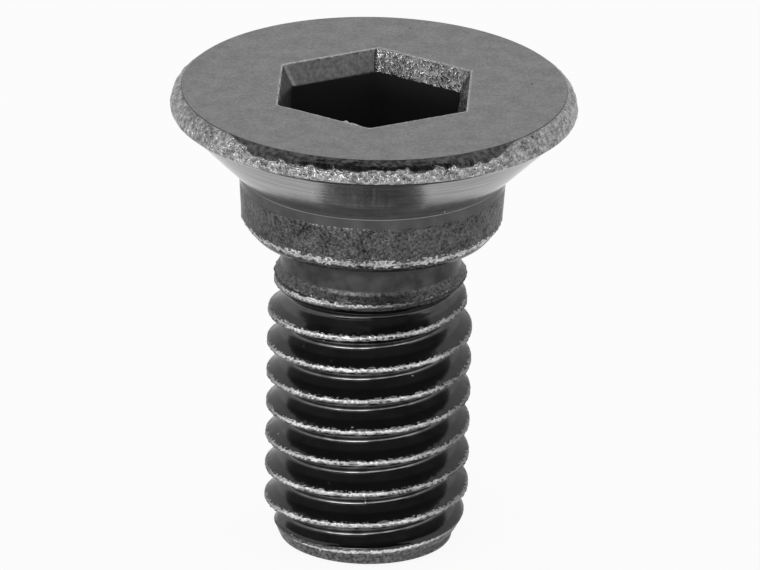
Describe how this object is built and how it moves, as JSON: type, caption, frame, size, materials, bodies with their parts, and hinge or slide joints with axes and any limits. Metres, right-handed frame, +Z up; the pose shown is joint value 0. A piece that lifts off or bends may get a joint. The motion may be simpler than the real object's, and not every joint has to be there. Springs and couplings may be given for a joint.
{
  "type": "countersunk socket screw",
  "caption": "Short black countersunk screw with a hexagon socket in its face, a locating shoulder under the cone and a coarse machine thread.",
  "frame": {"origin": "centre of the flat tip, on the screw's axis", "axes": "+Z up the screw's axis from the tip to the head's face; +Y towards the back, where a corner of the hexagon socket lies 2 degrees off; the thread's start is not tied to an axis"},
  "size_m": [0.0096, 0.0096, 0.0115],
  "materials": {
    "black_steel": "black oxide on forged and rolled steel, dull satin with a rough rim"
  },
  "bodies": {
    "root": {"screw": "black_steel"}
  },
  "joints": []
}
